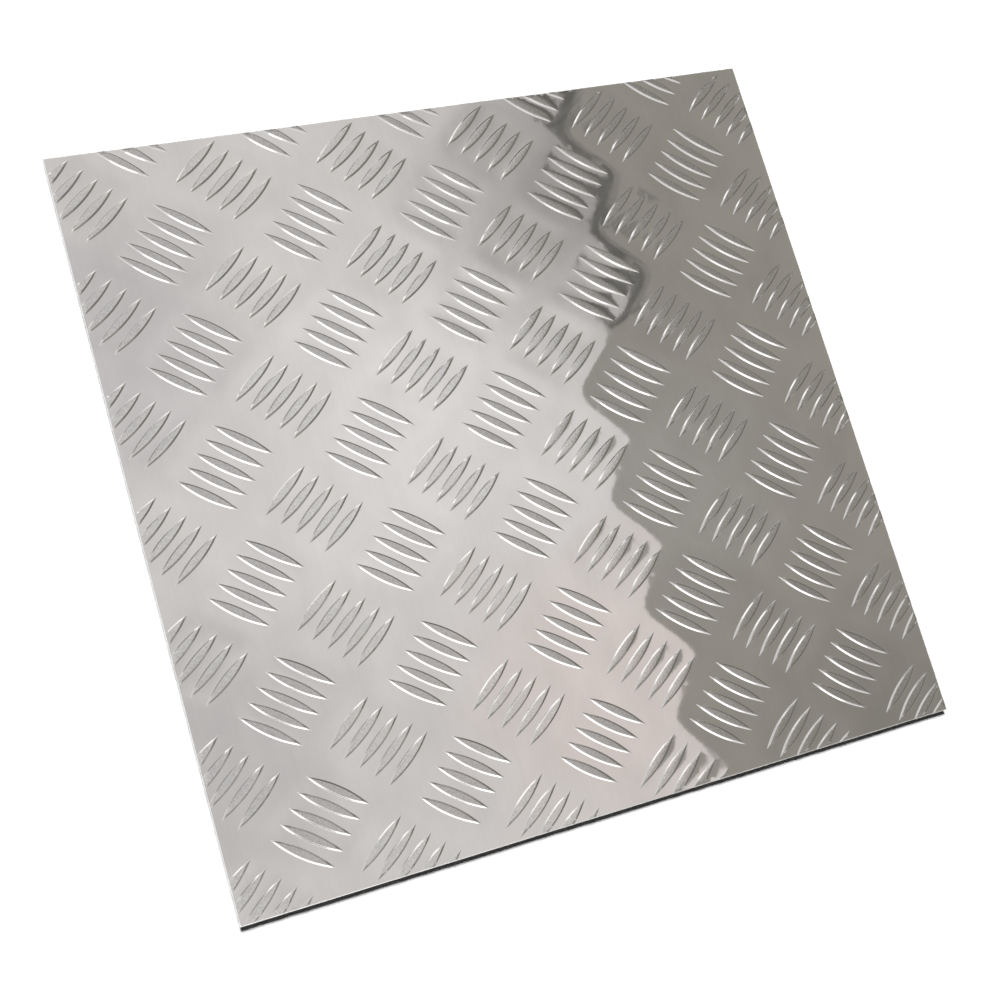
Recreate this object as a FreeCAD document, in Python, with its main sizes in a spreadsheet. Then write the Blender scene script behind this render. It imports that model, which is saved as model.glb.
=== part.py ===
"""Aluminium checker plate: one square off-cut of rolled five-bar tread sheet.

The sheet lies flat with its treads up.  X runs across the rolling direction, Y along it and +Z up.
The origin is the middle of the underside.  Lengths are in millimetres and angles in degrees.
"""
import FreeCAD, Part
import math
import os

GROUP_TREADS = 5

DIMENSIONS = {
    "sheet_width": 300.0,            # X, across the rolling direction
    "sheet_length": 300.0,           # Y, along the rolling direction
    "sheet_thickness": 3.0,          # plain metal between the treads
    "tread_height": 0.7,             # crown of a tread above the plain metal
    "tread_tip_height": 0.45,        # what is left of that height at the pointed tips
    "tread_length": 26.4,            # tip to tip
    "tread_width": 3.9,              # widest, at mid-length
    "tread_lean": 39.0,              # slope of a tread from the X axis
    "tread_pitch": 6.5,              # from one tread of a group to the next
    "stack_lean": 46.0,              # slope of the line through a group's tread centres
    "cell_width": 56.5,              # X repeat of the pattern
    "cell_length": 46.0,             # Y repeat of the pattern
    "first_group_from_left": 36.8,   # centre of the first falling group, in from the left edge
    "first_group_from_back": 42.2,   # and in from the back edge
}


def make_dimension_sheet(doc):
    """Write the driving dimensions into a spreadsheet, one aliased cell each."""
    sheet = doc.addObject("Spreadsheet::Sheet", "dimensions")
    for row, (alias, value) in enumerate(DIMENSIONS.items(), start=1):
        sheet.set(f"A{row}", alias)
        sheet.set(f"B{row}", str(value))
        sheet.setAlias(f"B{row}", alias)
    doc.recompute()
    return sheet


def add_bound(doc, kind, name, formulas):
    """Add a Part object whose properties follow formulas of the dimension names."""
    feature = doc.addObject(kind, name)
    for path, formula in formulas.items():
        feature.setExpression(path, formula)
    return feature


def make_tread(doc):
    """One whole tread along X, centred on the Z axis, crowned above Z = 0 and rooted below it.

    Two upright cylinders meet in the pointed lens of its plan, and a third, lying across it,
    gives the crown its long fall from mid-length to the tips.
    """
    half = "(dimensions.tread_length / 2)"
    sagitta = "(dimensions.tread_width / 2)"
    side_radius = f"(({half} ^ 2 + {sagitta} ^ 2) / (2 * {sagitta}))"
    fall = "(dimensions.tread_height - dimensions.tread_tip_height)"
    crown_radius = f"(({half} ^ 2 + {fall} ^ 2) / (2 * {fall}))"
    root = "(dimensions.sheet_thickness / 2)"
    sides = []
    for name, sign in (("tread_side_front", "1"), ("tread_side_back", "-1")):
        sides.append(add_bound(doc, "Part::Cylinder", name, {
            "Radius": side_radius,
            "Height": f"dimensions.tread_height + {root}",
            "Placement.Base.y": f"{sign} * ({side_radius} - {sagitta})",
            "Placement.Base.z": f"-{root}",
        }))
    crown = add_bound(doc, "Part::Cylinder", "tread_crown", {
        "Radius": crown_radius,
        "Height": "2 * dimensions.tread_width",
    })
    crown.Placement = FreeCAD.Placement(FreeCAD.Vector(), FreeCAD.Rotation(FreeCAD.Vector(1, 0, 0), 90))
    crown.setExpression("Placement.Base.y", "dimensions.tread_width")
    crown.setExpression("Placement.Base.z", f"dimensions.tread_height - {crown_radius}")
    tread = doc.addObject("Part::MultiCommon", "tread")
    tread.Shapes = [*sides, crown]
    return tread


def tread_placements(size):
    """Place every tread whose middle is within reach of the sheet.

    Falling groups slope down to the right.  Rising groups are their mirror image, half a cell
    away both ways.
    """
    reach = size.tread_length / 2
    left = -size.sheet_width / 2
    back = size.sheet_length / 2
    step_x = size.tread_pitch * math.cos(math.radians(size.stack_lean))
    step_y = size.tread_pitch * math.sin(math.radians(size.stack_lean))
    columns = math.ceil(size.sheet_width / size.cell_width) + 1
    rows = math.ceil(size.sheet_length / size.cell_length) + 1
    placements = []
    for rise, offset in ((-1, 0.0), (1, 0.5)):
        turn = FreeCAD.Rotation(FreeCAD.Vector(0, 0, 1), rise * size.tread_lean)
        for column in range(-2, columns):
            for row in range(-2, rows):
                group_x = left + size.first_group_from_left + (column + offset) * size.cell_width
                group_y = back - size.first_group_from_back - (row + offset) * size.cell_length
                for tread in range(GROUP_TREADS):
                    along = tread - (GROUP_TREADS - 1) / 2
                    x = group_x + along * step_x
                    y = group_y - rise * along * step_y
                    if abs(x) < -left + reach and abs(y) < back + reach:
                        middle = FreeCAD.Vector(x, y, size.sheet_thickness)
                        placements.append(FreeCAD.Placement(middle, turn))
    return placements


def make_rolled_strip(doc, size, tread):
    """The strip as it leaves the rolls, larger than the sheet by a tread all round."""
    margin = size.tread_length
    width = size.sheet_width + 2 * margin
    length = size.sheet_length + 2 * margin
    corner = FreeCAD.Vector(-width / 2, -length / 2, 0)
    slab = Part.makeBox(width, length, size.sheet_thickness, corner)
    treads = [tread.Shape.transformed(place.toMatrix()) for place in tread_placements(size)]
    strip = doc.addObject("Part::Feature", "rolled_strip")
    strip.Shape = slab.fuse(treads)
    return strip


def make_tread_plate(doc, strip):
    """The sheet, sheared square out of the rolled strip, treads and all."""
    outline = add_bound(doc, "Part::Box", "shear_outline", {
        "Length": "dimensions.sheet_width",
        "Width": "dimensions.sheet_length",
        "Height": "dimensions.sheet_thickness + 2 * dimensions.tread_height",
        "Placement.Base.x": "-dimensions.sheet_width / 2",
        "Placement.Base.y": "-dimensions.sheet_length / 2",
    })
    plate = doc.addObject("Part::Common", "tread_plate")
    plate.Label = "tread_plate"
    plate.Base = strip
    plate.Tool = outline
    return plate


def check(doc, plate):
    """Stop if any object failed or the sheet isn't one sound solid."""
    for item in doc.Objects:
        if "Invalid" in item.State or "Error" in item.State:
            raise RuntimeError(f"{item.Name} failed: {item.State}")
    shape = plate.Shape
    if shape.isNull() or not shape.isValid() or len(shape.Solids) != 1:
        raise RuntimeError(f"{plate.Label} isn't one valid solid")


def main():
    """Build the document and write the sheet's shape."""
    doc = FreeCAD.newDocument("checker_plate")
    size = make_dimension_sheet(doc)
    tread = make_tread(doc)
    doc.recompute()
    strip = make_rolled_strip(doc, size, tread)
    plate = make_tread_plate(doc, strip)
    doc.recompute()
    check(doc, plate)
    os.makedirs("parts", exist_ok=True)
    plate.Shape.exportStep(os.path.join("parts", f"{plate.Label}.step"))
    box = plate.Shape.BoundBox
    print(plate.Label, "volume", round(plate.Shape.Volume), "faces", len(plate.Shape.Faces), box)


main()
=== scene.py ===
"""The finished look of a square off-cut of aluminium checker plate.

The rolled face is one height field: plain metal that swells a little between the tread groups,
and the lens-shaped treads that stand out of it.  Lengths are worked in millimetres, in the frame
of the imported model, and turned into metres when a mesh is made.
"""
import logging
import math
from dataclasses import dataclass
from enum import Enum
from itertools import product

import bmesh
import bpy
import numpy as np
from mathutils import Matrix, Vector
from mathutils.geometry import delaunay_2d_cdt


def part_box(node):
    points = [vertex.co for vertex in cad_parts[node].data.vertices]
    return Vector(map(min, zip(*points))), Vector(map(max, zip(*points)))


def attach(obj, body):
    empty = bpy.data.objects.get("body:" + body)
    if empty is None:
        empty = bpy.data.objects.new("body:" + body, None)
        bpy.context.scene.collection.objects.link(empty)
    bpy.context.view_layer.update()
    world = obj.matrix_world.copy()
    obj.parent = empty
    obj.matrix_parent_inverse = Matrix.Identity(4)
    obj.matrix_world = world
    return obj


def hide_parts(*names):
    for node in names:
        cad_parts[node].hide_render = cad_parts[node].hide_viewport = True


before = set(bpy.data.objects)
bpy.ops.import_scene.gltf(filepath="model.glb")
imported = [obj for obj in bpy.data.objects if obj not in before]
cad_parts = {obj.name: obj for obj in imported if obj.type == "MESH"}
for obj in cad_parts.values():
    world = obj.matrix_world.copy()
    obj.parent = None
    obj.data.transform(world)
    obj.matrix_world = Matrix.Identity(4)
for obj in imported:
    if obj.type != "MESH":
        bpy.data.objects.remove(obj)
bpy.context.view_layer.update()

MM = 0.001
SOLID_TREAD_HEIGHT = 0.7  # how far the plain solid's treads stand above its plain metal
SIZE_DIGITS = 3           # decimals of a millimetre that a size is read to
NET_TOLERANCE = 1e-6      # millimetres within which points of a net are one
BLADE_TOLERANCE = 1e-4    # and points on a blade are already cut
RIM_TOLERANCE = 1e-3      # and points count as on the rim
log = logging.getLogger("checker_plate")


class GroupLean(Enum):
    """Which way the treads of a group slope, seen from above; the value mirrors Y."""

    FALLING = 1
    RISING = -1

    @property
    def shift(self) -> float:
        """Share of a cell, each way, from a falling group to the nearest one of this lean."""
        return 0.0 if self is GroupLean.FALLING else 0.5


class FaceFinish(Enum):
    """Which finish a face of the sheet wears; the value is its material's place."""

    MILL = 0
    SHEARED = 1


def smooth_ramp(value: np.ndarray) -> np.ndarray:
    """Clamp to 0..1 and ease both ends."""
    clamped = np.clip(value, 0.0, 1.0)
    return clamped * clamped * (3.0 - 2.0 * clamped)


def rounded_ramp(value: np.ndarray, rounding: float) -> np.ndarray:
    """Rise straight from 0 to 1, with both ends rounded.

    Args:
        value: Where along the ramp, 0 to 1; values outside are clamped.
        rounding: Share of the ramp that each rounded end takes up.

    Returns:
        The height of the ramp at each value.
    """
    clamped = np.clip(value, 0.0, 1.0)
    nearest_end = np.minimum(clamped, 1.0 - clamped)
    scale = 1.0 - rounding
    straight = (nearest_end - rounding / 2.0) / scale
    bend = nearest_end**2 / (2.0 * rounding * scale)
    share = np.where(nearest_end < rounding, bend, straight)
    return np.where(clamped < 0.5, share, 1.0 - share)


def arc_drop(station: np.ndarray, half: float, rise: float) -> np.ndarray:
    """Fall of a circular arc from its top.

    Args:
        station: Distances along the arc's chord from its middle.
        half: Half of the chord.
        rise: Height of the arc above its chord.

    Returns:
        The arc's height above its top at each station, 0 or less.
    """
    radius = (half**2 + rise**2) / (2.0 * rise)
    return np.sqrt(np.clip(radius**2 - station**2, 0.0, None)) - radius


def loop_edges(loop: list) -> list:
    """Pair each index of a closed loop with the next."""
    return list(zip(loop, loop[1:] + loop[:1]))


def net(points: np.ndarray, edges: list) -> list:
    """Join points into triangles that keep to the given edges.

    Args:
        points: X and Y of each point.
        edges: Pairs of indices that have to be edges of the net.

    Returns:
        The triangles, as tuples of indices into the points.
    """
    made = delaunay_2d_cdt([Vector(point) for point in points], edges, [], 0, NET_TOLERANCE)
    origins = [int(source[0]) for source in made[3]]
    return [tuple(origins[corner] for corner in face) for face in made[2]]


def add_object(name: str, data: bpy.types.ID) -> bpy.types.Object:
    """Put a mesh, a lamp or a camera into the scene.

    Args:
        name: What its object is called.
        data: The mesh, lamp or camera.

    Returns:
        The new object.
    """
    made = bpy.data.objects.new(name, data)
    bpy.context.scene.collection.objects.link(made)
    return made


@dataclass(frozen=True)
class TreadPattern:
    """The five-bar pattern: where each tread lies and the shape that the roll gives it."""

    sheet_width: float
    sheet_length: float
    sheet_thickness: float
    cell_width: float = 56.5
    cell_length: float = 46.0
    first_group_from_left: float = 36.8
    first_group_from_back: float = 42.2
    group_treads: int = 5
    tread_lean: float = 39.0
    tread_pitch: float = 6.5
    stack_lean: float = 46.0
    tread_length: float = 26.4
    tread_width: float = 3.9
    tread_height: float = 0.66
    tread_tip_height: float = 0.42
    flank_width: float = 0.73
    flank_rounding: float = 0.15
    ridge_softness: float = 0.15
    # where up a flank the painted highlight starts, and how far it takes to fade out
    highlight_start: float = 0.25
    highlight_fade: float = 0.4
    skirt_height: float = 0.03
    skirt_width: float = 1.3
    rim_press: float = 0.9
    rim_press_width: float = 1.8
    column_stride: int = 97
    row_stride: int = 13
    lean_stride: int = 7

    @property
    def along(self) -> np.ndarray:
        """Unit vector along a falling tread."""
        lean = math.radians(self.tread_lean)
        return np.array([math.cos(lean), -math.sin(lean)])

    @property
    def across(self) -> np.ndarray:
        """Unit vector across a falling tread."""
        lean = math.radians(self.tread_lean)
        return np.array([math.sin(lean), math.cos(lean)])

    @property
    def stack_step(self) -> np.ndarray:
        """Step from one tread's middle to the next in a falling group."""
        lean = math.radians(self.stack_lean)
        return self.tread_pitch * np.array([math.cos(lean), math.sin(lean)])

    @property
    def stack_reach(self) -> float:
        """Steps from a group's middle to its last tread."""
        return (self.group_treads - 1) / 2

    @property
    def cell(self) -> np.ndarray:
        """The pattern's repeat, X and Y."""
        return np.array([self.cell_width, self.cell_length])

    @property
    def half_cell(self) -> np.ndarray:
        """Half of the pattern's repeat, X and Y."""
        return self.cell / 2.0

    @property
    def half_sheet(self) -> np.ndarray:
        """Half of the sheet's width and length."""
        return np.array([self.sheet_width, self.sheet_length]) / 2.0

    @property
    def first_group(self) -> np.ndarray:
        """Middle of the first falling group."""
        from_corner = np.array([self.first_group_from_left, -self.first_group_from_back])
        return from_corner + self.half_sheet * np.array([-1.0, 1.0])

    def half_width(self, station: np.ndarray) -> np.ndarray:
        """Half of a tread's width at a distance along it from its middle.

        Args:
            station: Distances from mid-length, negative towards one tip.

        Returns:
            The distance from the tread's centre line to its foot, 0 past the tips.
        """
        widest = self.tread_width / 2.0
        return np.clip(widest + arc_drop(station, self.tread_length / 2.0, widest), 0.0, None)

    def crest_height(self, station: np.ndarray) -> np.ndarray:
        """Height of a tread's crest, which falls in one long arc towards both tips.

        Args:
            station: Distances from mid-length, negative towards one tip.

        Returns:
            The crest's height above the plain metal.
        """
        fall = self.tread_height - self.tread_tip_height
        return self.tread_height + arc_drop(station, self.tread_length / 2.0, fall)

    def is_falling(self, points: np.ndarray) -> np.ndarray:
        """Tell whether points of the rolled face lie in the diamond of a falling group.

        Args:
            points: Places on the face, one X and Y a row.

        Returns:
            True for each point in a falling group's diamond.
        """
        shifted = points - self.first_group
        offset = shifted - np.round(shifted / self.cell) * self.cell
        return (np.abs(offset) / self.half_cell).sum(axis=1) <= 1.0

    def locate(self, points: np.ndarray) -> tuple[np.ndarray, np.ndarray, np.ndarray]:
        """Find the tread nearest to each point of the rolled face.

        Args:
            points: Places on the face, one X and Y a row.

        Returns:
            The distance along that tread from its middle, the distance across it, and a whole
            number of its own for each tread.
        """
        shifted = points - self.first_group
        falling_cell = np.round(shifted / self.cell)
        rising_cell = np.round(shifted / self.cell - GroupLean.RISING.shift)
        from_falling = shifted - falling_cell * self.cell
        from_rising = shifted - (rising_cell + GroupLean.RISING.shift) * self.cell
        mirrored_back = from_rising * np.array([1.0, GroupLean.RISING.value])
        falling = self.is_falling(points)
        offset = np.where(falling[:, None], from_falling, mirrored_back)
        group = np.where(falling[:, None], falling_cell, rising_cell)
        row_step = float(self.stack_step @ self.across)
        row = np.clip(np.round(offset @ self.across / row_step), -self.stack_reach, self.stack_reach)
        local = offset - row[:, None] * self.stack_step
        number = group @ np.array([self.column_stride, self.row_stride]) + falling * self.lean_stride
        return local @ self.along, local @ self.across, (number * self.group_treads + row).astype(int)

    def gap(self, station: np.ndarray, aside: np.ndarray) -> np.ndarray:
        """Distance from points of the face to the foot of the nearest tread.

        Args:
            station: Distances along the nearest tread from its middle.
            aside: Distances across it.

        Returns:
            The distance over the plain metal, 0 on a tread.
        """
        past_tip = np.clip(np.abs(station) - self.tread_length / 2.0, 0.0, None)
        past_side = np.clip(np.abs(aside) - self.half_width(station), 0.0, None)
        return np.hypot(past_side, past_tip)

    def skirt(self, station: np.ndarray, aside: np.ndarray) -> np.ndarray:
        """Height of the metal drawn up round a tread's foot.

        Args:
            station: Distances along the nearest tread from its middle.
            aside: Distances across it.

        Returns:
            A low rise that is highest at the foot and dies out within the skirt's width.
        """
        return self.skirt_height * (1.0 - smooth_ramp(self.gap(station, aside) / self.skirt_width))

    def rim_share(self, points: np.ndarray) -> np.ndarray:
        """Share of its height that a tread keeps under the shear's hold-down."""
        inside = (self.half_sheet - np.abs(points)).min(axis=1)
        return 1.0 - self.rim_press * (1.0 - smooth_ramp(inside / self.rim_press_width))

    def flank_share(self, station: np.ndarray, aside: np.ndarray) -> np.ndarray:
        """How far up a tread's flank points lie.

        Args:
            station: Distances along the nearest tread from its middle.
            aside: Distances across it.

        Returns:
            0 at the foot and beyond, rising to 1 at the crest and inwards of it.
        """
        soft = self.ridge_softness
        foot = np.sqrt(self.half_width(station) ** 2 + soft**2)
        inward = foot - np.sqrt(aside**2 + soft**2)
        return np.clip(inward / self.flank_width, 0.0, 1.0)

    def highlight_share(self, flank: np.ndarray) -> np.ndarray:
        """How strongly the lower part of a flank takes the painted highlight, from how far up it points lie.
        """
        faded = smooth_ramp((flank - self.highlight_start) / self.highlight_fade)
        return smooth_ramp(flank / self.flank_rounding) * (1.0 - faded)


@dataclass(frozen=True)
class RolledFace:
    """The height field of the rolled face, treads and all."""

    pattern: TreadPattern
    swell_height: float = 0.17
    swell_sharpness: int = 3
    wander_height: float = 0.02
    wave_lengths: tuple = (150.0, 110.0, 80.0, 60.0)
    tread_variation: float = 0.04
    skirt_variation: float = 0.7
    chances: int = 997
    probe: float = 0.01
    seed: int = 5

    def swell(self, points: np.ndarray) -> np.ndarray:
        """Height of the low ridges that the roll leaves between neighbouring groups.

        Args:
            points: Places on the face, one X and Y a row.

        Returns:
            Heights from the top of the ridges down, so 0 or less.
        """
        share = (points - self.pattern.first_group) / self.pattern.cell
        rising = np.sin(math.pi * (share[:, 0] + share[:, 1])) ** (2 * self.swell_sharpness)
        falling = np.sin(math.pi * (share[:, 0] - share[:, 1])) ** (2 * self.swell_sharpness)
        return self.swell_height * (rising + falling - rising * falling - 1.0)

    def wander(self, points: np.ndarray) -> np.ndarray:
        """Long uneven waves of the sheet, from a few crossed sines.

        Args:
            points: Places on the face, one X and Y a row.

        Returns:
            Small heights either side of 0.
        """
        random = np.random.default_rng(self.seed)
        total = np.zeros(len(points))
        for length in self.wave_lengths:
            heading = random.uniform(0.0, math.pi)
            phase = random.uniform(0.0, 2.0 * math.pi)
            walk = points @ np.array([math.cos(heading), math.sin(heading)])
            total += np.sin(2.0 * math.pi * walk / length + phase) * length / self.wave_lengths[0]
        return self.wander_height * total / len(self.wave_lengths)

    def height(self, points: np.ndarray) -> np.ndarray:
        """Height of the rolled face above the floor.

        Args:
            points: Places on the face, one X and Y a row.

        Returns:
            The height at each place.
        """
        pattern = self.pattern
        station, aside, number = pattern.locate(points)
        random = np.random.default_rng(self.seed)
        chance = random.uniform(0.0, 1.0, self.chances)[number % self.chances]
        flank = pattern.flank_share(station, aside)
        tread = pattern.crest_height(station) * rounded_ramp(flank, pattern.flank_rounding)
        tread *= pattern.rim_share(points) * (1.0 - self.tread_variation * chance)
        skirt = pattern.skirt(station, aside) * (1.0 + self.skirt_variation * (2.0 * chance - 1.0))
        return pattern.sheet_thickness + self.swell(points) + self.wander(points) + tread + skirt

    def normals(self, points: np.ndarray) -> np.ndarray:
        """Directions that the rolled face looks in, from its slope each way.

        Args:
            points: Places on the face, one X and Y a row.

        Returns:
            One unit normal a row.
        """
        slope = np.zeros((len(points), 3))
        slope[:, 2] = 1.0
        for axis in (0, 1):
            step = np.zeros(2)
            step[axis] = self.probe
            rise = self.height(points + step) - self.height(points - step)
            slope[:, axis] = -rise / (2.0 * self.probe)
        return slope / np.linalg.norm(slope, axis=1, keepdims=True)


@dataclass(frozen=True)
class ShearedEdge:
    """The cut edge from its rolled-over rim down to the burr, as rows of a wall."""

    rim_radius: float = 0.4
    burnish_depth: float = 1.1
    fracture_inset: float = 0.05
    foot_height: float = 0.12
    foot_inset: float = 0.12
    foot_tilt: float = -0.5
    waver: float = 0.12
    waver_turns: tuple = ((0.9, 0.0), (0.37, 1.0), (2.3, 2.0))
    rim_steps: int = 3

    def rows(self, top: np.ndarray, thickness: float, run: np.ndarray) -> list[tuple]:
        """Outward shift, height and upward share of the normal for each row below the rim.

        Args:
            top: Height of the rolled face at each rim vertex.
            thickness: Plain thickness of the sheet.
            run: Distance round the rim of each vertex.

        Returns:
            One tuple a row, from the rim down.
        """
        radius = self.rim_radius
        made = []
        for step in range(1, self.rim_steps + 1):
            angle = 0.5 * math.pi * step / self.rim_steps
            drop = radius * (1.0 - math.cos(angle))
            made.append((radius * math.sin(angle), top - drop, math.cos(angle)))
        waves = sum(np.sin(run * turn + phase) for turn, phase in self.waver_turns)
        burnished = thickness - self.burnish_depth + self.waver * waves / len(self.waver_turns)
        torn = radius - self.fracture_inset
        made.append((radius, burnished, 0.0))
        made.append((torn, burnished - self.fracture_inset, 0.0))
        made.append((torn, np.full_like(top, self.foot_height), 0.0))
        made.append((radius - self.foot_inset, np.zeros_like(top), self.foot_tilt))
        return made


class NodeSheet:
    """A material's node tree, with short calls for the few nodes that the finishes use."""

    noise_middle = (0.25, 0.75)
    number_inputs = (0, 2, 3)
    color_inputs = (0, 6, 7)
    color_output = 2

    def __init__(self, name: str) -> None:
        """Start a material with its Principled shader.

        Args:
            name: What the material is called.
        """
        self.material = bpy.data.materials.new(name)
        self.material.use_nodes = True
        self.tree = self.material.node_tree
        self.shader = self.tree.nodes["Principled BSDF"]

    def node(self, kind: str, **settings: object) -> bpy.types.Node:
        """Add a node and set its properties.

        Args:
            kind: The node's type.
            **settings: Properties of the node and their values.

        Returns:
            The new node.
        """
        made = self.tree.nodes.new(kind)
        for name, value in settings.items():
            setattr(made, name, value)
        return made

    def feed(self, node: bpy.types.Node, key: int | str, value: object) -> None:
        """Put a value or another node's output into an input.

        Args:
            node: The node that takes it.
            key: The input's index or name.
            value: A number, a colour, a vector or an output.
        """
        if isinstance(value, bpy.types.NodeSocket):
            self.tree.links.new(value, node.inputs[key])
        else:
            node.inputs[key].default_value = value

    def shade(self, name: str, value: object) -> None:
        """Put a value or an output into one of the shader's inputs."""
        self.feed(self.shader, name, value)

    def place(self) -> bpy.types.NodeSocket:
        """Where a point lies in the object's own coordinates."""
        return self.node("ShaderNodeTexCoord").outputs["Object"]

    def stored(self, name: str) -> bpy.types.NodeSocket:
        """A share that the mesh stores for each of its vertices."""
        return self.node("ShaderNodeAttribute", attribute_name=name).outputs["Fac"]

    def noise(self, scale: tuple, detail: float) -> bpy.types.NodeSocket:
        """Noise over the object's own coordinates.

        Args:
            scale: Features a metre along X, Y and Z.
            detail: How many finer layers are added.

        Returns:
            The noise's value, about 0.5 on average.
        """
        stretch = self.node("ShaderNodeMapping")
        self.feed(stretch, "Vector", self.place())
        self.feed(stretch, "Scale", scale)
        made = self.node("ShaderNodeTexNoise")
        self.feed(made, "Vector", stretch.outputs["Vector"])
        self.feed(made, "Scale", 1.0)
        self.feed(made, "Detail", detail)
        return made.outputs["Fac"]

    def floor_height(self) -> bpy.types.NodeSocket:
        """Height above the floor.

        Returns:
            The height, in metres.
        """
        made = self.node("ShaderNodeSeparateXYZ")
        self.feed(made, 0, self.place())
        return made.outputs["Z"]

    def math(self, operation: str, *values: object) -> bpy.types.NodeSocket:
        """Work out one sum.

        Args:
            operation: What the node does with its inputs.
            *values: Up to three numbers or outputs.

        Returns:
            The result.
        """
        made = self.node("ShaderNodeMath", operation=operation)
        for index, value in enumerate(values):
            self.feed(made, index, value)
        return made.outputs[0]

    def ramp(self, value: bpy.types.NodeSocket, low: float, high: float) -> bpy.types.NodeSocket:
        """Ease from 0 to 1.

        Args:
            value: The output that is followed.
            low: Where the ramp is 0.
            high: Where the ramp is 1.

        Returns:
            The eased share.
        """
        made = self.node("ShaderNodeMapRange", interpolation_type="SMOOTHSTEP")
        self.feed(made, 0, value)
        self.feed(made, "From Min", low)
        self.feed(made, "From Max", high)
        return made.outputs[0]

    def spread(self, value: bpy.types.NodeSocket, span: tuple) -> bpy.types.NodeSocket:
        """Stretch a noise's middle range.

        Args:
            value: The noise.
            span: What the low and the high end of that range become.

        Returns:
            The stretched noise.
        """
        made = self.node("ShaderNodeMapRange")
        self.feed(made, 0, value)
        ends = (*self.noise_middle, *span)
        for name, end in zip(("From Min", "From Max", "To Min", "To Max"), ends):
            self.feed(made, name, end)
        return made.outputs[0]

    def mix_number(self, share: bpy.types.NodeSocket, first: object, second: object) -> bpy.types.NodeSocket:
        """Go from one number to another.

        Args:
            share: 0 for the first, 1 for the second.
            first: A number or an output.
            second: A number or an output.

        Returns:
            The number in between.
        """
        made = self.node("ShaderNodeMix", data_type="FLOAT")
        for index, value in zip(self.number_inputs, (share, first, second)):
            self.feed(made, index, value)
        return made.outputs[0]

    def mix_color(self, share: bpy.types.NodeSocket, first: object, second: object) -> bpy.types.NodeSocket:
        """Go from one colour to another.

        Args:
            share: 0 for the first, 1 for the second.
            first: Red, green and blue, or an output.
            second: Red, green and blue, or an output.

        Returns:
            The colour in between.
        """
        made = self.node("ShaderNodeMix", data_type="RGBA")
        for index, value in zip(self.color_inputs, (share, first, second)):
            self.feed(made, index, (*value, 1.0) if isinstance(value, tuple) else value)
        return made.outputs[self.color_output]

    def scale_color(self, color: object, factor: bpy.types.NodeSocket) -> bpy.types.NodeSocket:
        """Multiply a colour by a varying number.

        Args:
            color: Red, green and blue, or an output.
            factor: The number.

        Returns:
            The colour, lighter or darker.
        """
        made = self.node("ShaderNodeVectorMath", operation="SCALE")
        self.feed(made, 0, color)
        self.feed(made, "Scale", factor)
        return made.outputs[0]

    def bump(self, height: bpy.types.NodeSocket) -> None:
        """Raise a fine relief on the shader's normal.

        Args:
            height: The relief, in metres.
        """
        made = self.node("ShaderNodeBump")
        self.feed(made, "Strength", 1.0)
        self.feed(made, "Distance", 1.0)
        self.feed(made, "Height", height)
        self.shade("Normal", made.outputs["Normal"])


@dataclass(frozen=True)
class MillFinish:
    """Semi-bright mill finish: near-mirror plain metal, grainy tread crests with painted shade that darkens
    falling crests more than rising ones, and a painted highlight on the lower flanks.
    """

    name: str = "mill_aluminium"
    plain_color: tuple = (0.6, 0.575, 0.56)
    # crest tones: grey grain, with painted shade that makes falling crests darker than rising ones
    shaded_falling_crest: tuple = (0.46, 0.445, 0.435)
    lit_rising_crest: tuple = (0.55, 0.535, 0.52)
    # painted highlight colours for the lower flanks, brighter on falling treads than on rising ones
    falling_flank_highlight: tuple = (0.78, 0.77, 0.76)
    rising_flank_highlight: tuple = (0.64, 0.63, 0.62)
    plain_roughness: float = 0.045
    falling_roughness: float = 0.32
    rising_roughness: float = 0.18
    flank_roughness: float = 0.12
    mottle_roughness: float = 0.01
    mottle_scale: tuple = (55.0, 35.0, 55.0)
    mottle_tone: tuple = (0.93, 1.05)
    streak_scale: tuple = (900.0, 14.0, 900.0)
    streak_tone: tuple = (0.985, 1.012)
    grain_scale: tuple = (1200.0, 1200.0, 1200.0)
    grain_tone: tuple = (0.84, 1.16)
    grain_height: float = 3e-5
    ripple_scale: tuple = (170.0, 170.0, 170.0)
    ripple_height: float = 6e-6

    def material(self) -> bpy.types.Material:
        """Make the material.

        Returns:
            The mill finish, which reads the crest, flank and falling shares of the mesh.
        """
        made = NodeSheet(self.name)
        # the flank share places the painted highlight on the lower flanks and also sets their roughness
        crest, flank, falling = (made.stored(name) for name in ("crest", "flank", "falling"))
        mottle = made.noise(self.mottle_scale, detail=4.0)
        grain = made.noise(self.grain_scale, detail=3.0)
        streak = made.noise(self.streak_scale, detail=2.0)
        ripple = made.noise(self.ripple_scale, detail=2.0)
        tone = made.spread(mottle, self.mottle_tone)
        lines = made.spread(streak, self.streak_tone)
        plain = made.scale_color(self.plain_color, made.math("MULTIPLY", tone, lines))
        # crest colour with painted shade on falling groups and painted light on rising ones
        crest_color = made.mix_color(falling, self.lit_rising_crest, self.shaded_falling_crest)
        top = made.scale_color(crest_color, made.spread(grain, self.grain_tone))
        # painted highlight colour of the lower flanks, picked by the group's lean
        flank_highlight = made.mix_color(falling, self.rising_flank_highlight, self.falling_flank_highlight)
        made.shade("Base Color", made.mix_color(flank, made.mix_color(crest, plain, top), flank_highlight))
        crest_rough = made.mix_number(falling, self.rising_roughness, self.falling_roughness)
        rough = made.mix_number(crest, self.plain_roughness, crest_rough)
        rough = made.mix_number(flank, rough, self.flank_roughness)
        made.shade("Roughness", made.math("MULTIPLY_ADD", mottle, self.mottle_roughness, rough))
        made.shade("Metallic", 1.0)
        relief = made.math("MULTIPLY", made.math("MULTIPLY", grain, crest), self.grain_height)
        made.bump(made.math("MULTIPLY_ADD", ripple, self.ripple_height, relief))
        return made.material


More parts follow.
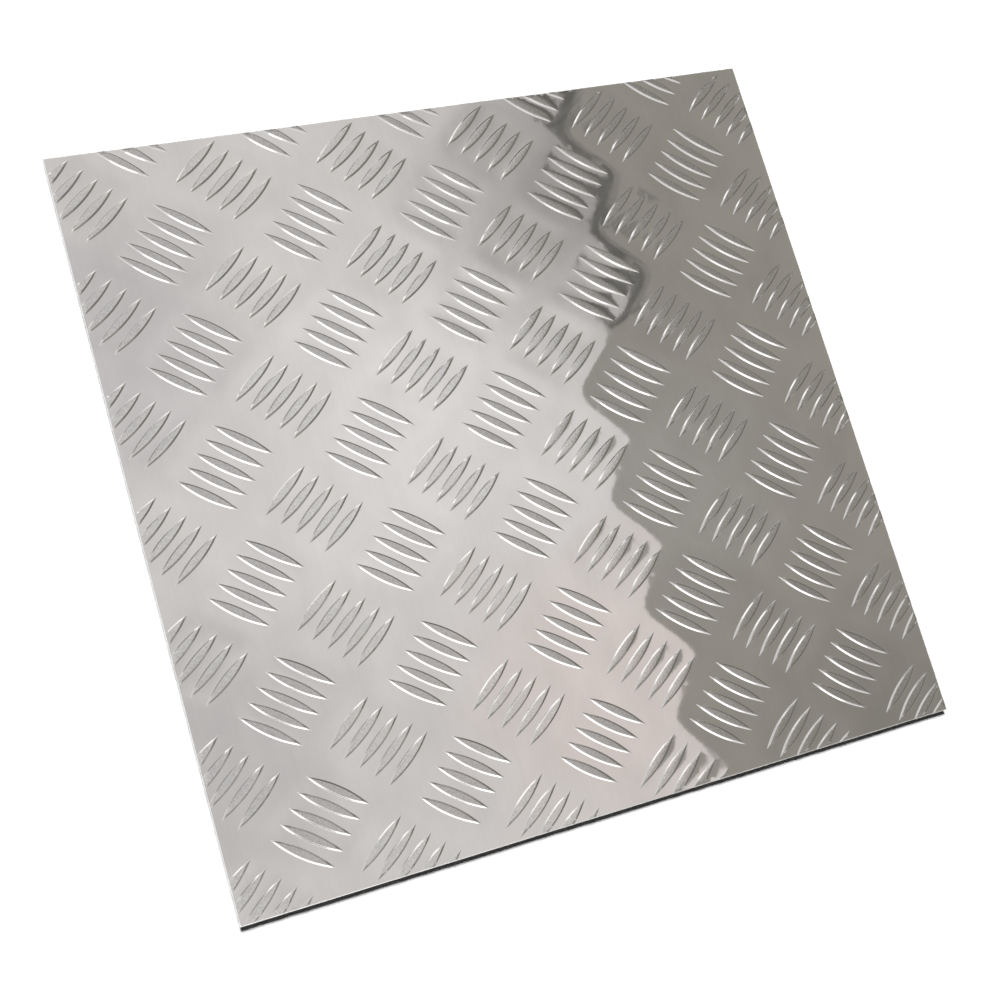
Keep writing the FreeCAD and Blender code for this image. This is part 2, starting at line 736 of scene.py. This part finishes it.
@dataclass(frozen=True)
class ShearedFinish:
    """Guillotined metal: scored bright where the blade ran and torn grey where it broke, with a painted
    highlight along the rolled-over rim.
    """

    name: str = "sheared_edge"
    # painted highlight along the rim, from rim_start up to rim_full above the floor
    rim_highlight_color: tuple = (0.86, 0.85, 0.84)
    rim_start: float = 2.6
    rim_full: float = 2.8
    bright_color: tuple = (0.42, 0.41, 0.4)
    bright_roughness: float = 0.24
    torn_color: tuple = (0.16, 0.157, 0.153)
    torn_roughness: float = 0.55
    burnish_start: float = 2.0
    burnish_full: float = 2.25
    waver_scale: tuple = (700.0, 700.0, 120.0)
    waver_height: float = 0.5
    score_scale: tuple = (2600.0, 2600.0, 160.0)
    score_tone: tuple = (0.8, 1.1)
    tear_scale: tuple = (2200.0, 2200.0, 2200.0)
    tear_tone: tuple = (0.65, 1.25)
    tear_height: float = 7e-5

    def material(self) -> bpy.types.Material:
        """Make the material.

        Returns:
            The cut edge's finish, which changes with the height above the floor.
        """
        made = NodeSheet(self.name)
        height = made.floor_height()
        waver = made.noise(self.waver_scale, detail=3.0)
        scores = made.noise(self.score_scale, detail=3.0)
        tear = made.noise(self.tear_scale, detail=5.0)
        level = made.math("MULTIPLY_ADD", waver, self.waver_height * MM, height)
        burnish = made.ramp(level, self.burnish_start * MM, self.burnish_full * MM)
        # share of the painted rim highlight, by height above the floor
        rolled = made.ramp(height, self.rim_start * MM, self.rim_full * MM)
        bright = made.scale_color(self.bright_color, made.spread(scores, self.score_tone))
        torn = made.scale_color(self.torn_color, made.spread(tear, self.tear_tone))
        cut = made.mix_color(burnish, torn, bright)
        made.shade("Base Color", made.mix_color(rolled, cut, self.rim_highlight_color))
        made.shade("Roughness", made.mix_number(burnish, self.torn_roughness, self.bright_roughness))
        made.shade("Metallic", 1.0)
        made.bump(made.math("MULTIPLY", made.mix_number(burnish, tear, scores), self.tear_height))
        return made.material


@dataclass
class MeshParts:
    """Vertices, faces and vertex normals while a mesh is put together."""

    points: np.ndarray
    faces: list
    normals: np.ndarray | None = None


@dataclass
class TreadPlate:
    """The sheet: its rolled face, sheared edges and flat underside in one closed mesh."""

    pattern: TreadPattern
    edge: ShearedEdge = ShearedEdge()
    mill: MillFinish = MillFinish()
    sheared: ShearedFinish = ShearedFinish()
    name: str = "checker_plate"
    stations: int = 18
    flank_rows: tuple = (0.0, 0.15, 0.5, 0.85, 1.0)
    tip_share: float = 0.8
    border_steps: int = 11
    plain_step: float = 3.1
    plain_row_ratio: float = 0.866
    clear_of_treads: float = 1.2
    clear_of_border: float = 1.4
    underside_step: float = 15.0
    weld: float = 0.001
    least_area: float = 1e-4

    def tread_grid(self) -> tuple[np.ndarray, list, list]:
        """One tread along X: its grid of points, its faces and the loop of its foot.

        Returns:
            The points, the faces as tuples of indices, and the foot's indices in order.
        """
        pattern = self.pattern
        half = pattern.tread_length / 2.0
        points = [(-half, 0.0)]
        columns = [[0]]
        for step in range(1, self.stations):
            station = half * math.sin(math.pi * (step / self.stations - 0.5))
            width = float(pattern.half_width(np.array([station]))[0])
            flank = min(pattern.flank_width, self.tip_share * width)
            right = [width - share * flank for share in self.flank_rows]
            rows = [-offset for offset in right] + [0.0] + right[::-1]
            columns.append(list(range(len(points), len(points) + len(rows))))
            points.extend((station, offset) for offset in rows)
        columns.append([len(points)])
        points.append((half, 0.0))
        faces = []
        for left, right in zip(columns, columns[1:]):
            if len(left) == 1:
                faces.extend((left[0], low, high) for low, high in zip(right, right[1:]))
            elif len(right) == 1:
                faces.extend((low, right[0], high) for low, high in zip(left, left[1:]))
            else:
                faces.extend(zip(left, right, right[1:], left[1:]))
        foot = [column[0] for column in columns] + [column[-1] for column in columns[-2:0:-1]]
        return np.array(points), faces, foot

    def tile_border(self) -> np.ndarray:
        """Points round the diamond that one group of treads takes up.

        Returns:
            X and Y of the points, in order round the diamond.
        """
        wide, long = self.pattern.half_cell
        corners = np.array([[wide, 0.0], [0.0, long], [-wide, 0.0], [0.0, -long]])
        made = []
        for start, end in zip(corners, np.roll(corners, -1, axis=0)):
            for step in range(self.border_steps):
                made.append(start + (end - start) * step / self.border_steps)
        return np.array(made)

    def plain_points(self) -> np.ndarray:
        """Points on a diamond's plain metal, clear of its treads and its border.

        Returns:
            X and Y of the points, measured from the diamond's middle.
        """
        pattern = self.pattern
        wide, long = pattern.half_cell
        step = self.plain_step
        row_step = step * self.plain_row_ratio
        rows = int(long / row_step) + 1
        columns = int(wide / step) + 1
        points = np.array([
            (column * step + 0.5 * step * (row % 2), row * row_step)
            for row in range(-rows, rows + 1)
            for column in range(-columns, columns + 1)
        ])
        side = math.hypot(wide, long)
        border = (1.0 - (np.abs(points) / pattern.half_cell).sum(axis=1)) * wide * long / side
        station, aside, _ = pattern.locate(points + pattern.first_group)
        gap = pattern.gap(station, aside)
        return points[(border > self.clear_of_border) & (gap > self.clear_of_treads)]

    def plain_faces(self, points: np.ndarray, treads: range, feet: list) -> list:
        """Net a diamond's plain metal with triangles, round its treads.

        Args:
            points: All of the diamond's points: its border, its treads and its plain metal.
            treads: Indices of the points of its treads.
            feet: Indices of each tread's foot, in order round it.

        Returns:
            The triangles, as tuples of indices.
        """
        on_foot = {index for loop in feet for index in loop}
        used = [i for i in range(len(points)) if i not in treads or i in on_foot]
        place = {index: rank for rank, index in enumerate(used)}
        edges = loop_edges(list(range(treads.start)))
        for loop in feet:
            edges.extend(loop_edges([place[index] for index in loop]))
        loops = [set(loop) for loop in feet]
        made = []
        for face in net(points[used], edges):
            corners = tuple(used[corner] for corner in face)
            first, second, third = points[list(corners)]
            area = 0.5 * float(np.cross(second - first, third - first))
            on_tread = any(loop.issuperset(corners) for loop in loops)
            if area > self.least_area and not on_tread:
                made.append(corners)
        return made

    def tile(self) -> MeshParts:
        """One diamond of the flat pattern round a falling group: treads and plain metal.

        Returns:
            The diamond, with points in X and Y only.
        """
        pattern = self.pattern
        grid, grid_faces, foot = self.tread_grid()
        points = [self.tile_border()]
        border = len(points[0])
        count = border
        faces = []
        feet = []
        for number in range(pattern.group_treads):
            middle = (number - pattern.stack_reach) * pattern.stack_step
            points.append(middle + grid[:, :1] * pattern.along + grid[:, 1:] * pattern.across)
            faces.extend(tuple(count + index for index in face) for face in grid_faces)
            feet.append([count + index for index in foot])
            count += len(grid)
        points.append(self.plain_points())
        everything = np.vstack(points)
        faces.extend(self.plain_faces(everything, range(border, count), feet))
        return MeshParts(everything, faces)

    def group_places(self) -> list[tuple[GroupLean, np.ndarray]]:
        """Find the groups that reach the sheet.

        Returns:
            The lean and the middle of each group.
        """
        pattern = self.pattern
        limit = pattern.half_sheet + pattern.half_cell
        reach = int(max(limit / pattern.half_cell)) + 2
        cells = range(-reach, reach)
        made = []
        for lean, column, row in product(GroupLean, cells, cells):
            middle = pattern.first_group + (np.array([column, row]) + lean.shift) * pattern.cell
            if np.all(np.abs(middle) < limit):
                made.append((lean, middle))
        return made

    def strip(self) -> MeshParts:
        """The flat pattern over the whole sheet and a little past its edges, welded.

        Returns:
            The strip, with points in X and Y only.
        """
        tile = self.tile()
        points = []
        faces = []
        for number, (lean, middle) in enumerate(self.group_places()):
            points.append(middle + tile.points * np.array([1.0, lean.value]))
            start = number * len(tile.points)
            order = slice(None, None, lean.value)
            faces.extend(tuple(start + index for index in face[order]) for face in tile.faces)
        everything = np.vstack(points)
        places = np.round(everything / self.weld).astype(int)
        _, first, back = np.unique(places, axis=0, return_index=True, return_inverse=True)
        back = back.reshape(-1).tolist()
        return MeshParts(everything[first], [tuple(back[index] for index in face) for face in faces])

    def sheared_top(self) -> tuple[np.ndarray, list]:
        """The flat pattern cut to the sheet's rim by the four blades.

        Returns:
            The points and the faces that are left.
        """
        strip = self.strip()
        half_x, half_y = self.pattern.half_sheet - self.edge.rim_radius
        work = bmesh.new()
        mesh = bpy.data.meshes.new("strip")
        mesh.from_pydata(np.column_stack([strip.points, np.zeros(len(strip.points))]), [], strip.faces)
        work.from_mesh(mesh)
        for place, outward in (
            ((half_x, 0, 0), (1, 0, 0)), ((-half_x, 0, 0), (-1, 0, 0)),
            ((0, half_y, 0), (0, 1, 0)), ((0, -half_y, 0), (0, -1, 0)),
        ):
            bmesh.ops.bisect_plane(
                work, geom=work.verts[:] + work.edges[:] + work.faces[:], dist=BLADE_TOLERANCE,
                plane_co=place, plane_no=outward, clear_outer=True,
            )
        work.verts.index_update()
        points = np.array([vertex.co[:2] for vertex in work.verts])
        faces = [tuple(vertex.index for vertex in face.verts) for face in work.faces]
        work.free()
        bpy.data.meshes.remove(mesh)
        return points, faces

    def rim_order(self, points: np.ndarray) -> tuple[np.ndarray, np.ndarray, np.ndarray]:
        """Vertices of the rim in order round the sheet.

        Args:
            points: The X and Y of the cut pattern's vertices.

        Returns:
            The rim's indices, the outward direction at each, and its distance round the rim.
        """
        half = np.abs(points).max(axis=0) - RIM_TOLERANCE
        on_side = [
            points[:, 1] < -half[1], points[:, 0] > half[0],
            points[:, 1] > half[1], points[:, 0] < -half[0],
        ]
        ways = [(0, 1), (1, 1), (0, -1), (1, -1)]
        outs = np.array([(0.0, -1.0), (1.0, 0.0), (0.0, 1.0), (-1.0, 0.0)])
        order = []
        outward = []
        for side, (axis, sign) in enumerate(ways):
            found = np.flatnonzero(on_side[side])
            found = found[np.argsort(sign * points[found, axis])]
            for index in found[:-1]:
                is_corner = float(on_side[side - 1][index])
                order.append(index)
                outward.append(outs[side] + outs[side - 1] * is_corner)
        steps = np.linalg.norm(np.diff(points[order], axis=0, append=points[order[:1]]), axis=1)
        return np.array(order), np.array(outward), np.concatenate([[0.0], np.cumsum(steps)[:-1]])

    def wall(self, top: MeshParts) -> tuple[MeshParts, int]:
        """The four cut edges, hung from the rim of the rolled face.

        Args:
            top: The rolled face.

        Returns:
            The wall, whose vertices are numbered on from the rolled face's, and how many of them
            each of its rows has.
        """
        order, outward, run = self.rim_order(top.points[:, :2])
        unit = outward / np.linalg.norm(outward, axis=1, keepdims=True)
        rim = top.points[order]
        points = []
        normals = []
        faces = []
        ring = order
        count = len(top.points)
        for shift, height, up in self.edge.rows(rim[:, 2], self.pattern.sheet_thickness, run):
            below = np.arange(count, count + len(order))
            points.append(np.column_stack([rim[:, :2] + outward * shift, height]))
            normals.append(np.column_stack([unit * math.sqrt(1.0 - up * up), np.full(len(order), up)]))
            quads = np.column_stack([ring, below, np.roll(below, -1), np.roll(ring, -1)])
            faces.extend(tuple(quad) for quad in quads.tolist())
            ring = below
            count += len(order)
        return MeshParts(np.vstack(points), faces, np.vstack(normals)), len(order)

    def underside(self, rim: np.ndarray, start: int) -> MeshParts:
        """The flat underside inside its rim, as a coarse net of triangles.

        Args:
            rim: X and Y of the lowest row of the wall, the last vertices that the mesh has so far.
            start: Index of the first of them in the whole mesh.

        Returns:
            The new vertices and the faces, which point down.
        """
        half = np.abs(rim).max(axis=0)
        spots = [np.linspace(-side, side, int(2 * side / self.underside_step) + 1)[1:-1] for side in half]
        inner = np.array(list(product(*spots)))
        edges = loop_edges(list(range(len(rim))))
        triangles = net(np.vstack([rim, inner]), edges)
        faces = [tuple(start + corner for corner in reversed(face)) for face in triangles]
        down = np.tile([0.0, 0.0, -1.0], (len(inner), 1))
        return MeshParts(np.column_stack([inner, np.zeros(len(inner))]), faces, down)

    def store_shares(self, mesh: bpy.types.Mesh, flat: np.ndarray) -> None:
        """Store how much of a crest, a flank with the painted highlight and a falling group each vertex is.

        Args:
            mesh: The sheet's mesh, whose first vertices are the rolled face's.
            flat: X and Y of the rolled face's vertices.
        """
        station, aside, _ = self.pattern.locate(flat)
        flank = self.pattern.flank_share(station, aside)
        # share of the painted highlight on each lower flank
        flank_highlight = self.pattern.highlight_share(flank)
        falling = self.pattern.is_falling(flat).astype(float)
        others = np.zeros(len(mesh.vertices) - len(flat))
        for name, share in (("crest", flank), ("flank", flank_highlight), ("falling", falling)):
            layer = mesh.attributes.new(name, "FLOAT", "POINT")
            layer.data.foreach_set("value", np.concatenate([share, others]))

    def join(self, top: MeshParts, wall: MeshParts, bottom: MeshParts) -> bpy.types.Mesh:
        """Join the three parts of the sheet into one mesh in metres.

        Args:
            top: The rolled face.
            wall: The cut edges.
            bottom: The underside, which meets the wall at a sharp corner.

        Returns:
            The closed mesh, with a finish for each face and a normal for each corner.
        """
        parts = (top, wall, bottom)
        finishes = (FaceFinish.MILL, FaceFinish.SHEARED, FaceFinish.MILL)
        mesh = bpy.data.meshes.new(self.name)
        points = np.vstack([part.points for part in parts])
        mesh.from_pydata(points * MM, [], [face for part in parts for face in part.faces])
        mesh.update()
        slots = [finish.value for part, finish in zip(parts, finishes) for _ in part.faces]
        mesh.polygons.foreach_set("material_index", slots)
        mesh.polygons.foreach_set("use_smooth", [True] * len(mesh.polygons))
        self.store_shares(mesh, top.points[:, :2])
        normals = np.vstack([top.normals, wall.normals])
        loops = [tuple(normals[i]) for part in (top, wall) for face in part.faces for i in face]
        loops.extend(tuple(bottom.normals[0]) for face in bottom.faces for _ in face)
        mesh.normals_split_custom_set(loops)
        return mesh

    def build(self) -> bpy.types.Object:
        """Make the closed mesh, with its normals taken from the rolled face itself.

        Returns:
            The sheet, in the scene and still bare.
        """
        face = RolledFace(self.pattern)
        flat, faces = self.sheared_top()
        top = MeshParts(np.column_stack([flat, face.height(flat)]), faces, face.normals(flat))
        wall, rim_size = self.wall(top)
        before_rim = len(top.points) + len(wall.points) - rim_size
        bottom = self.underside(wall.points[-rim_size:, :2], before_rim)
        return add_object(self.name, self.join(top, wall, bottom))

    def dress(self, plate: bpy.types.Object) -> None:
        """Give the rolled faces and the cut edges their finishes."""
        for finish in (self.mill, self.sheared):
            plate.data.materials.append(finish.material())


def mirrored(tree: bpy.types.NodeTree) -> bpy.types.NodeSocket:
    """Tell what the metal shows from what its edges would throw on the floor.

    Args:
        tree: The material's or world's node tree.

    Returns:
        1 for a ray that the metal has mirrored on its way to the eye, 0 once a floor is involved.
    """
    path = tree.nodes.new("ShaderNodeLightPath")
    made = tree.nodes.new("ShaderNodeMath")
    made.operation = "GREATER_THAN"
    tree.links.new(path.outputs["Is Glossy Ray"], made.inputs[0])
    tree.links.new(path.outputs["Diffuse Depth"], made.inputs[1])
    return made.outputs[0]


@dataclass(frozen=True)
class Pool:
    """A soft round patch of another colour on a card."""

    middle: tuple
    inner: float
    outer: float
    color: tuple


@dataclass(frozen=True)
class Flag:
    """A card that only the metal sees, with soft pools of other tones on it."""

    name: str
    corners: tuple
    color: tuple
    pools: tuple = ()
    unevenness: float = 0.05
    cloud: float = 5.0

    def material(self) -> bpy.types.Material:
        """Make the card glow by its colour, its pools and a faint cloudiness.

        Returns:
            The glow, which shows only in what the metal mirrors.
        """
        made = NodeSheet(self.name)
        place = made.place()
        ground = made.node("ShaderNodeRGB")
        ground.outputs[0].default_value = (*self.color, 1.0)
        color = ground.outputs[0]
        level = self.corners[0][2]
        for pool in self.pools:
            away = made.node("ShaderNodeVectorMath", operation="DISTANCE")
            made.feed(away, 0, place)
            made.feed(away, 1, (*pool.middle, level))
            share = made.ramp(away.outputs["Value"], pool.inner, pool.outer)
            color = made.mix_color(share, pool.color, color)
        cloud = made.noise((self.cloud, self.cloud, self.cloud), detail=2.0)
        uneven = made.spread(cloud, (1.0 - self.unevenness, 1.0 + self.unevenness))
        made.shade("Emission Color", made.scale_color(color, uneven))
        made.shade("Emission Strength", mirrored(made.tree))
        made.shade("Base Color", (0.0, 0.0, 0.0, 1.0))
        made.shade("Specular IOR Level", 0.0)
        return made.material

    def build(self) -> None:
        """Hang the card and hide it from everything but reflections."""
        mesh = bpy.data.meshes.new(self.name)
        mesh.from_pydata(self.corners, [], [tuple(range(len(self.corners)))])
        card = add_object(self.name, mesh)
        mesh.materials.append(self.material())
        card.visible_camera = False
        card.visible_diffuse = False
        card.visible_shadow = False
        card.visible_transmission = False


@dataclass
class Studio:
    """Pale floor, soft light and the two halves of the room that the metal mirrors."""

    floor_half: float = 4.0
    floor_drop: float = 0.00005
    floor_color: tuple = (0.95, 0.95, 0.95)
    sun_strength: float = 4.4
    sun_spread: float = 20.0
    sun_from: tuple = (-0.03, 1.0, 1.45)
    window_size: tuple = (1.6, 1.0)
    window_from: tuple = (-0.85, -1.15, 0.5)
    window_level: float = 1.5
    fill_level: float = 0.02
    ceiling: float = 0.803
    room_left: float = -1.6
    room_right: float = 1.6
    room_back: float = 3.2
    room_front: float = -1.3
    ceiling_edge: tuple = (
        (0.33, -1.3), (0.352, -0.155), (0.363, -0.08), (0.362, 0.16), (0.368, 0.244), (0.406, 0.321),
        (0.427, 0.4), (0.405, 0.66), (0.3, 1.6), (-0.3, 3.2),
    )
    fringe_start: int = 5
    fringe_end: int = 8
    fringe_bands: tuple = ((0.05, (0.34, 0.337, 0.318)), (0.026, (0.2, 0.2, 0.19)))
    fringe_drop: float = 0.002
    fringe_unevenness: float = 0.35
    fringe_cloud: float = 45.0
    dim_color: tuple = (0.449, 0.443, 0.403)
    dim_pools: tuple = (
        Pool((0.43, 0.15), 0.02, 0.2, (0.5, 0.495, 0.465)),
        Pool((0.6, -0.2), 0.0, 0.25, (0.38, 0.374, 0.34)),
    )
    pale_color: tuple = (0.99, 0.99, 0.99)
    pale_pools: tuple = (
        Pool((0.16, 0.24), 0.02, 0.3, (1.13, 1.14, 1.15)),
        Pool((0.3, -0.06), 0.05, 0.22, (1.05, 0.985, 0.955)),
        Pool((-0.12, -0.03), 0.05, 0.18, (0.84, 0.84, 0.85)),
        Pool((-0.14, 0.4), 0.05, 0.2, (0.86, 0.86, 0.88)),
        Pool((0.44, 0.5), 0.02, 0.28, (0.54, 0.535, 0.53)),
    )
    wall_color: tuple = (0.3, 0.29, 0.27)
    front_color: tuple = (0.45, 0.44, 0.42)
    doorway_left: float = -2.2
    doorway_color: tuple = (1.8, 1.8, 1.8)

    def floor(self) -> None:
        """A plain white floor that keeps the sheet's shadow."""
        mesh = bpy.data.meshes.new("floor")
        side = self.floor_half
        corners = [(-side, -side), (side, -side), (side, side), (-side, side)]
        mesh.from_pydata([(x, y, -self.floor_drop) for x, y in corners], [], [(0, 1, 2, 3)])
        floor = add_object("floor", mesh)
        made = NodeSheet("floor_white")
        made.shade("Base Color", (*self.floor_color, 1.0))
        made.shade("Roughness", 1.0)
        made.shade("Specular IOR Level", 0.0)
        mesh.materials.append(made.material)

    def ceiling_flags(self) -> None:
        """The pale and the dim half of the ceiling, and the dark fringe where they meet."""
        top, right, back, front = self.ceiling, self.room_right, self.room_back, self.room_front
        edge = [(x, y, top) for x, y in self.ceiling_edge]
        dim = (*edge, (right, back, top), (right, front, top))
        pale = (*edge, (self.room_left, back, top), (self.room_left, front, top))
        Flag("flag_dim", dim, self.dim_color, self.dim_pools).build()
        Flag("flag_pale", pale, self.pale_color, self.pale_pools).build()
        for number, (width, color) in enumerate(self.fringe_bands, start=1):
            level = top - number * self.fringe_drop
            shaded = [(x, y, level) for x, y in self.ceiling_edge[self.fringe_start:self.fringe_end]]
            far = [(x + width, y, level) for x, y, level in reversed(shaded)]
            name = f"flag_fringe_{number}"
            corners = (*shaded, *far)
            Flag(name, corners, color, (), self.fringe_unevenness, self.fringe_cloud).build()

    def wall_flags(self) -> None:
        """The walls of the room, and the bright doorway at the left of its back wall."""
        top, right, back, front = self.ceiling, self.room_right, self.room_back, self.room_front
        near = self.ceiling_edge[0][0]
        left = self.ceiling_edge[-1][0]
        for name, start, end, color in (
            ("flag_right", (right, front), (right, back), self.wall_color),
            ("flag_back", (left, back), (right, back), self.wall_color),
            ("flag_front", (near, front), (right, front), self.front_color),
            ("flag_doorway", (self.doorway_left, back), (left, back), self.doorway_color),
        ):
            corners = ((*start, 0.0), (*end, 0.0), (*end, top), (*start, top))
            Flag(name, corners, color).build()

    def lamps(self) -> None:
        """A high lamp behind the sheet and a broad low window at its front left."""
        high = bpy.data.lights.new("high_lamp", "SUN")
        high.energy = self.sun_strength
        high.angle = math.radians(self.sun_spread)
        lamp = add_object("high_lamp", high)
        lamp.rotation_euler = Vector(self.sun_from).to_track_quat("Z", "Y").to_euler()
        lamp.visible_glossy = False
        broad = bpy.data.lights.new("window", "AREA")
        broad.shape = "RECTANGLE"
        broad.size, broad.size_y = self.window_size
        broad.energy = self.window_level * math.pi * broad.size * broad.size_y
        window = add_object("window", broad)
        window.location = self.window_from
        window.rotation_euler = Vector(self.window_from).to_track_quat("Z", "Y").to_euler()
        window.visible_diffuse = False

    def world(self) -> None:
        """White all round to the camera and in the metal, and a soft fill on the floor."""
        world = bpy.data.worlds.new("studio")
        world.use_nodes = True
        bpy.context.scene.world = world
        tree = world.node_tree
        background = tree.nodes["Background"]
        background.inputs["Color"].default_value = (1.0, 1.0, 1.0, 1.0)
        path = tree.nodes.new("ShaderNodeLightPath")
        seen = path.outputs["Is Camera Ray"]
        for other in (mirrored(tree), path.outputs["Is Transmission Ray"]):
            either = tree.nodes.new("ShaderNodeMath")
            either.operation = "MAXIMUM"
            tree.links.new(seen, either.inputs[0])
            tree.links.new(other, either.inputs[1])
            seen = either.outputs[0]
        level = tree.nodes.new("ShaderNodeMapRange")
        level.inputs["To Min"].default_value = self.fill_level
        level.inputs["To Max"].default_value = 1.0
        tree.links.new(seen, level.inputs[0])
        tree.links.new(level.outputs[0], background.inputs["Strength"])

    def build(self) -> None:
        """Set up the whole studio."""
        self.floor()
        self.ceiling_flags()
        self.wall_flags()
        self.lamps()
        self.world()
        bpy.context.scene.view_settings.view_transform = "Standard"


@dataclass
class ViewCamera:
    """A camera that looks down on the sheet from its front left corner."""

    eye: tuple = (-0.16678, -0.13074, 0.50232)
    forward: tuple = (0.29616, 0.12996, -0.94626)
    up: tuple = (0.23369, 0.95073, 0.20371)
    lens: float = 48.27
    shift: tuple = (-0.035, 0.1)
    nearest: float = 0.01

    def build(self) -> None:
        """Place the camera and make it the scene's."""
        data = bpy.data.cameras.new("camera")
        data.lens = self.lens
        data.shift_x, data.shift_y = self.shift
        data.clip_start = self.nearest
        camera = add_object("camera", data)
        back = -Vector(self.forward).normalized()
        right = Vector(self.up).cross(back).normalized()
        turn = Matrix((right, back.cross(right), back)).transposed()
        camera.matrix_world = Matrix.Translation(self.eye) @ turn.to_4x4()
        bpy.context.scene.camera = camera


def sheet_pattern() -> TreadPattern:
    """Take the sheet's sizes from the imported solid.

    Returns:
        The tread pattern on a sheet of that width, length and plain thickness.
    """
    low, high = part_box("tread_plate")
    width, length, height = ((high[axis] - low[axis]) / MM for axis in range(3))
    return TreadPattern(width, length, round(height - SOLID_TREAD_HEIGHT, SIZE_DIGITS))


def main() -> None:
    """Build the camera, the sheet and the studio."""
    logging.basicConfig(level=logging.INFO, format="%(name)s: %(message)s")
    log.info("frame nodes: %s", ", ".join(sorted(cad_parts)))
    ViewCamera().build()
    sheet = TreadPlate(sheet_pattern())
    plate = sheet.build()
    sheet.dress(plate)
    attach(plate, "root")
    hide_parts("tread_plate")
    plate.data.calc_loop_triangles()
    log.info("%s: %d triangles", plate.name, len(plate.data.loop_triangles))
    Studio().build()


if __name__ == "__main__":
    main()
